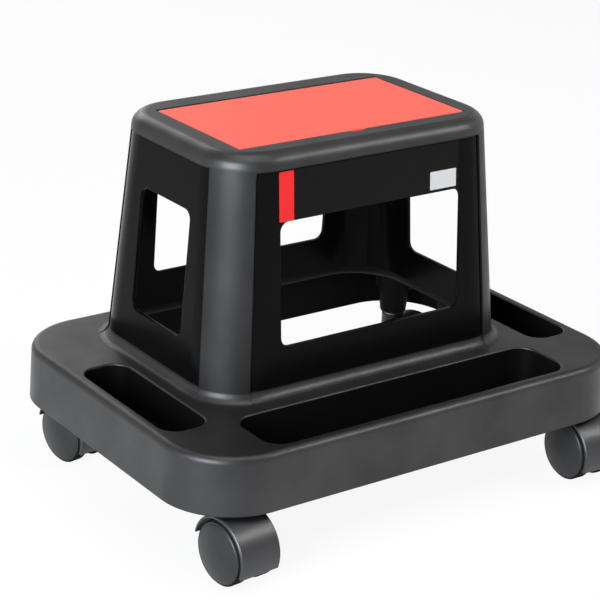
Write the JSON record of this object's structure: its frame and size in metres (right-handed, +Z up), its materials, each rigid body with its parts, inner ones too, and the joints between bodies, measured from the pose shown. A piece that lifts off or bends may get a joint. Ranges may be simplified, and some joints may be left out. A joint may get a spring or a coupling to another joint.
{
  "type": "creeper seat",
  "caption": "Rolling work seat: one-piece moulded stool on a tool deck with open pockets, hinged lid over a storage tray, and plug-in twin-wheel casters.",
  "frame": {"origin": "on the floor, under the middle of the outline", "axes": "+X to the sitter's right along the front, +Y to the back, +Z up"},
  "size_m": [0.43, 0.3269, 0.3009],
  "materials": {
    "body_plastic": "fine moulded satin, near black",
    "lid_plastic": "fine moulded satin, red",
    "socket_nylon": "natural black nylon",
    "caster_nylon": "satin black nylon",
    "wheel_nylon": "satin black nylon",
    "steel": "bright zinc plate"
  },
  "bodies": {
    "seat": {"seat_body": "body_plastic", "fl_socket": "socket_nylon", "fl_stem": "steel", "fl_grip_ring": "steel", "fr_socket": "socket_nylon", "fr_stem": "steel", "fr_grip_ring": "steel", "rl_socket": "socket_nylon", "rl_stem": "steel", "rl_grip_ring": "steel", "rr_socket": "socket_nylon", "rr_stem": "steel", "rr_grip_ring": "steel"},
    "lid": {"lid": "lid_plastic"},
    "fl_caster": {"fl_housing": "caster_nylon", "fl_axle": "steel"},
    "fl_left_wheel": {"fl_wheel_left": "wheel_nylon"},
    "fl_right_wheel": {"fl_wheel_right": "wheel_nylon"},
    "fr_caster": {"fr_housing": "caster_nylon", "fr_axle": "steel"},
    "fr_left_wheel": {"fr_wheel_left": "wheel_nylon"},
    "fr_right_wheel": {"fr_wheel_right": "wheel_nylon"},
    "rl_caster": {"rl_housing": "caster_nylon", "rl_axle": "steel"},
    "rl_left_wheel": {"rl_wheel_left": "wheel_nylon"},
    "rl_right_wheel": {"rl_wheel_right": "wheel_nylon"},
    "rr_caster": {"rr_housing": "caster_nylon", "rr_axle": "steel"},
    "rr_left_wheel": {"rr_wheel_left": "wheel_nylon"},
    "rr_right_wheel": {"rr_wheel_right": "wheel_nylon"}
  },
  "joints": [
    {"name": "lid_hinge", "type": "hinge", "parent": "seat", "child": "lid", "pos_m": [0, 0.08877, 0.2964], "axis": [-1, 0, 0], "range_deg": [0, 100]},
    {"name": "fl_swivel", "type": "hinge", "parent": "seat", "child": "fl_caster", "pos_m": [-0.175, -0.11658, 0.026], "axis": [0, 0, 1], "continuous": true},
    {"name": "fl_left_wheel_spin", "type": "hinge", "parent": "fl_caster", "child": "fl_left_wheel", "pos_m": [-0.17365, -0.13202, 0.026], "axis": [0.9962, 0.0872, 0], "continuous": true},
    {"name": "fl_right_wheel_spin", "type": "hinge", "parent": "fl_caster", "child": "fl_right_wheel", "pos_m": [-0.17365, -0.13202, 0.026], "axis": [0.9962, 0.0872, 0], "continuous": true},
    {"name": "fr_swivel", "type": "hinge", "parent": "seat", "child": "fr_caster", "pos_m": [0.175, -0.11658, 0.026], "axis": [0, 0, 1], "continuous": true},
    {"name": "fr_left_wheel_spin", "type": "hinge", "parent": "fr_caster", "child": "fr_left_wheel", "pos_m": [0.17446, -0.13207, 0.026], "axis": [0.9994, -0.0349, 0], "continuous": true},
    {"name": "fr_right_wheel_spin", "type": "hinge", "parent": "fr_caster", "child": "fr_right_wheel", "pos_m": [0.17446, -0.13207, 0.026], "axis": [0.9994, -0.0349, 0], "continuous": true},
    {"name": "rl_swivel", "type": "hinge", "parent": "seat", "child": "rl_caster", "pos_m": [-0.175, 0.13002, 0.026], "axis": [0, 0, 1], "continuous": true},
    {"name": "rl_left_wheel_spin", "type": "hinge", "parent": "rl_caster", "child": "rl_left_wheel", "pos_m": [-0.17258, 0.11471, 0.026], "axis": [0.9877, 0.1564, 0], "continuous": true},
    {"name": "rl_right_wheel_spin", "type": "hinge", "parent": "rl_caster", "child": "rl_right_wheel", "pos_m": [-0.17258, 0.11471, 0.026], "axis": [0.9877, 0.1564, 0], "continuous": true},
    {"name": "rr_swivel", "type": "hinge", "parent": "seat", "child": "rr_caster", "pos_m": [0.175, 0.13002, 0.026], "axis": [0, 0, 1], "continuous": true},
    {"name": "rr_left_wheel_spin", "type": "hinge", "parent": "rr_caster", "child": "rr_left_wheel", "pos_m": [0.1813, 0.11586, 0.026], "axis": [0.9135, 0.4067, 0], "continuous": true},
    {"name": "rr_right_wheel_spin", "type": "hinge", "parent": "rr_caster", "child": "rr_right_wheel", "pos_m": [0.1813, 0.11586, 0.026], "axis": [0.9135, 0.4067, 0], "continuous": true}
  ]
}
